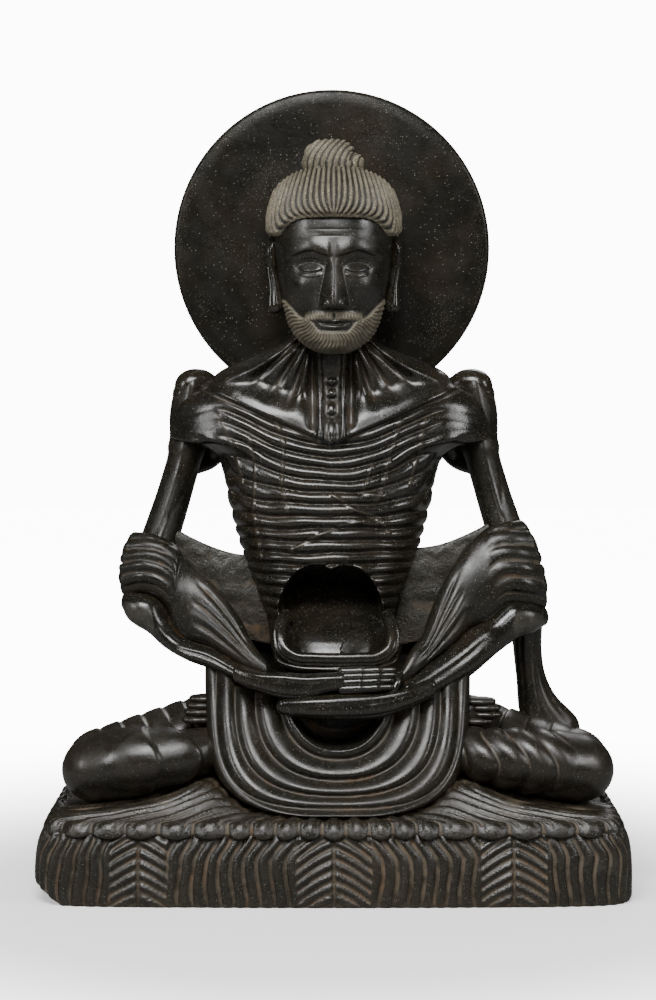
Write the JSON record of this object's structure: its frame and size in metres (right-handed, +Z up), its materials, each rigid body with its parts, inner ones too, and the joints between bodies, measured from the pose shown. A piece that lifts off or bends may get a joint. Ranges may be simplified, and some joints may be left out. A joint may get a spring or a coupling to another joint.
{
  "type": "fasting buddha statue",
  "caption": "Seated fasting figure in dark polished stone with a disc halo, on a leaf mat base, carved as one block.",
  "frame": {"origin": "middle of the base's underside", "axes": "+Z up; the figure faces -Y; +X is to the viewer's right when facing the figure"},
  "size_m": [0.6021, 0.342, 0.8361],
  "materials": {
    "stone": "polished dark green-black stone, brown dust in the grooves, matte hair and mat"
  },
  "bodies": {
    "root": {"statue": "stone"}
  },
  "joints": []
}
